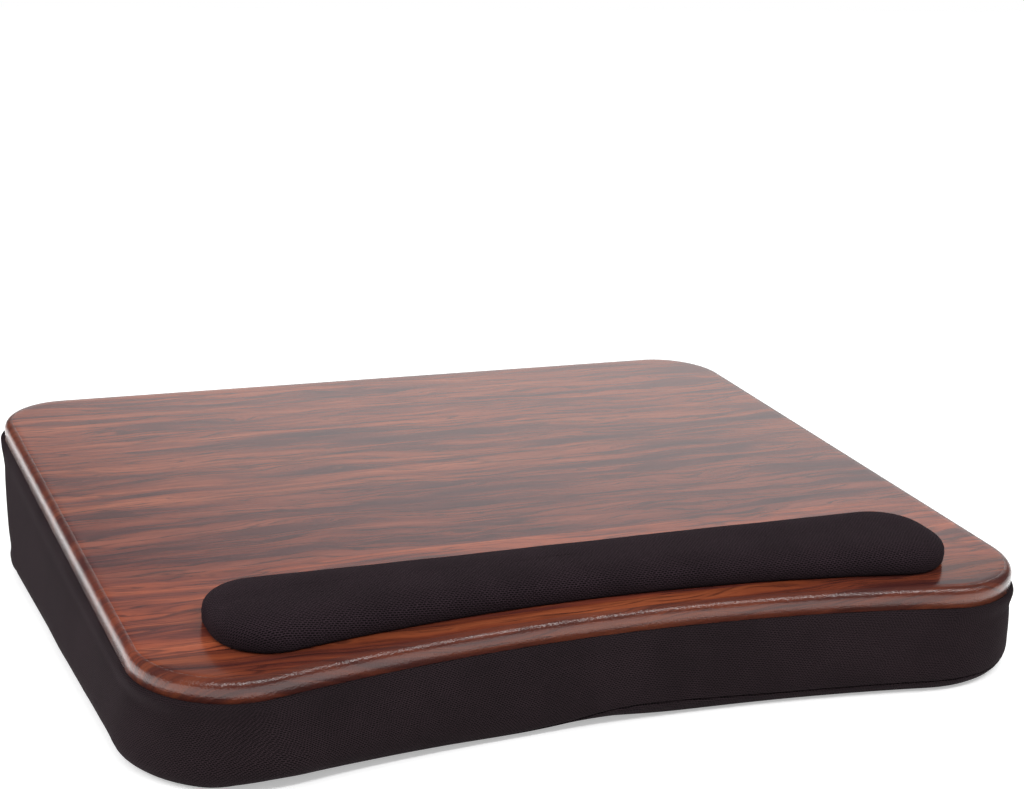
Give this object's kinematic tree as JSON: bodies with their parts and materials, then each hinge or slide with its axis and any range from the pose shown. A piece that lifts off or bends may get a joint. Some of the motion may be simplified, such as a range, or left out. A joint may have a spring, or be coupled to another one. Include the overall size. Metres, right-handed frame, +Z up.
{
  "type": "cushioned lap desk",
  "caption": "Wood-grain lap desk with a scooped front edge and a padded wrist rest, on a wedge-shaped fabric cushion.",
  "frame": {"origin": "middle of the desk's rectangular footprint, on the plane that the cushion's flat underside lies on", "axes": "+X to the right and +Y to the back as the person using the desk sees it, +Z up"},
  "size_m": [0.4874, 0.4106, 0.0875],
  "materials": {
    "fibreboard": "raw medium-density fibreboard",
    "wood_grain_film": "semi-gloss film printed with a red-brown rosewood grain",
    "backing_paper": "resin-soaked paper",
    "glue": "flexible contact glue",
    "cushion_fabric": "very dark brown knitted mesh",
    "cushion_lining": "plain woven lining",
    "memory_foam": "fine-celled slow-recovery foam",
    "firm_foam": "open-celled polyurethane foam",
    "wrist_rest_fabric": "very dark brown smooth knitted fabric",
    "stiff_plastic": "black sheet",
    "foam_tape": "double-sided foam tape"
  },
  "bodies": {
    "root": {"board_core": "fibreboard", "board_film": "wood_grain_film", "board_backer": "backing_paper", "cushion_glue": "glue", "cushion_side_band": "cushion_fabric", "cushion_bottom_panel": "cushion_fabric", "cushion_top_panel": "cushion_lining", "memory_foam_layer": "memory_foam", "foam_wedge": "firm_foam", "wrist_rest_cover": "wrist_rest_fabric", "wrist_rest_foam": "memory_foam", "wrist_rest_base": "stiff_plastic", "wrist_rest_tape": "foam_tape"}
  },
  "joints": []
}
